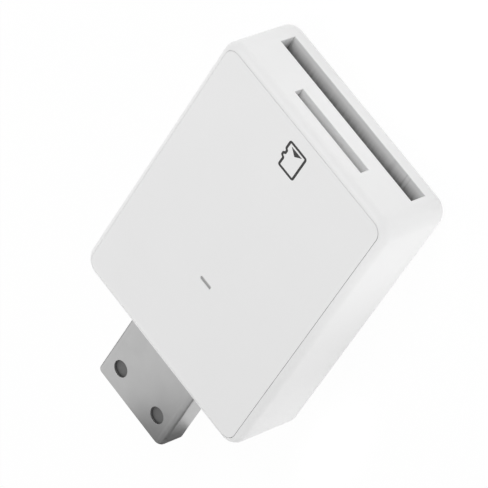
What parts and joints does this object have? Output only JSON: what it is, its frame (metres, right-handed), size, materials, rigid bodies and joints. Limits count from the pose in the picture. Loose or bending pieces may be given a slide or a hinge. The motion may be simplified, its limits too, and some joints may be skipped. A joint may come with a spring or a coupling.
{
  "type": "memory card reader",
  "caption": "Small white card reader with a metal plug at one end and a wide and a narrow card slot at the other, its cover plate set flush in a rounded housing.",
  "frame": {"origin": "middle of the housing's flat back, on which the reader lies", "axes": "+Z out of the front cover, +Y towards the plug, -Y out of the card slots, +X across the cover"},
  "size_m": [0.03, 0.0524, 0.0108],
  "materials": {
    "white_plastic": "satin",
    "light_insert": "translucent",
    "plug_metal": "satin",
    "socket_metal": "satin",
    "contact_metal": "plated",
    "dark_plastic": "matte",
    "board": "satin",
    "chip_epoxy": "matte",
    "ceramic": "matte"
  },
  "bodies": {
    "root": {"capacitor_1": "ceramic", "capacitor_2": "ceramic", "capacitor_3": "ceramic", "circuit_board": "board", "controller_chip": "chip_epoxy", "front_cover": "white_plastic", "housing": "white_plastic", "large_card_contact_1": "contact_metal", "large_card_contact_2": "contact_metal", "large_card_contact_3": "contact_metal", "large_card_contact_4": "contact_metal", "large_card_contact_5": "contact_metal", "large_card_contact_6": "contact_metal", "large_card_contact_7": "contact_metal", "large_card_contact_8": "contact_metal", "large_card_contact_9": "contact_metal", "large_card_socket_base": "dark_plastic", "large_card_socket_shell": "socket_metal", "light_pipe": "light_insert", "light_resistor": "ceramic", "plug_contact_1": "contact_metal", "plug_contact_2": "contact_metal", "plug_contact_3": "contact_metal", "plug_contact_4": "contact_metal", "plug_insulator": "dark_plastic", "plug_shell": "plug_metal", "small_card_contact_1": "contact_metal", "small_card_contact_2": "contact_metal", "small_card_contact_3": "contact_metal", "small_card_contact_4": "contact_metal", "small_card_contact_5": "contact_metal", "small_card_contact_6": "contact_metal", "small_card_contact_7": "contact_metal", "small_card_contact_8": "contact_metal", "small_card_socket_base": "dark_plastic", "small_card_socket_shell": "socket_metal", "status_light": "light_insert"}
  },
  "joints": []
}
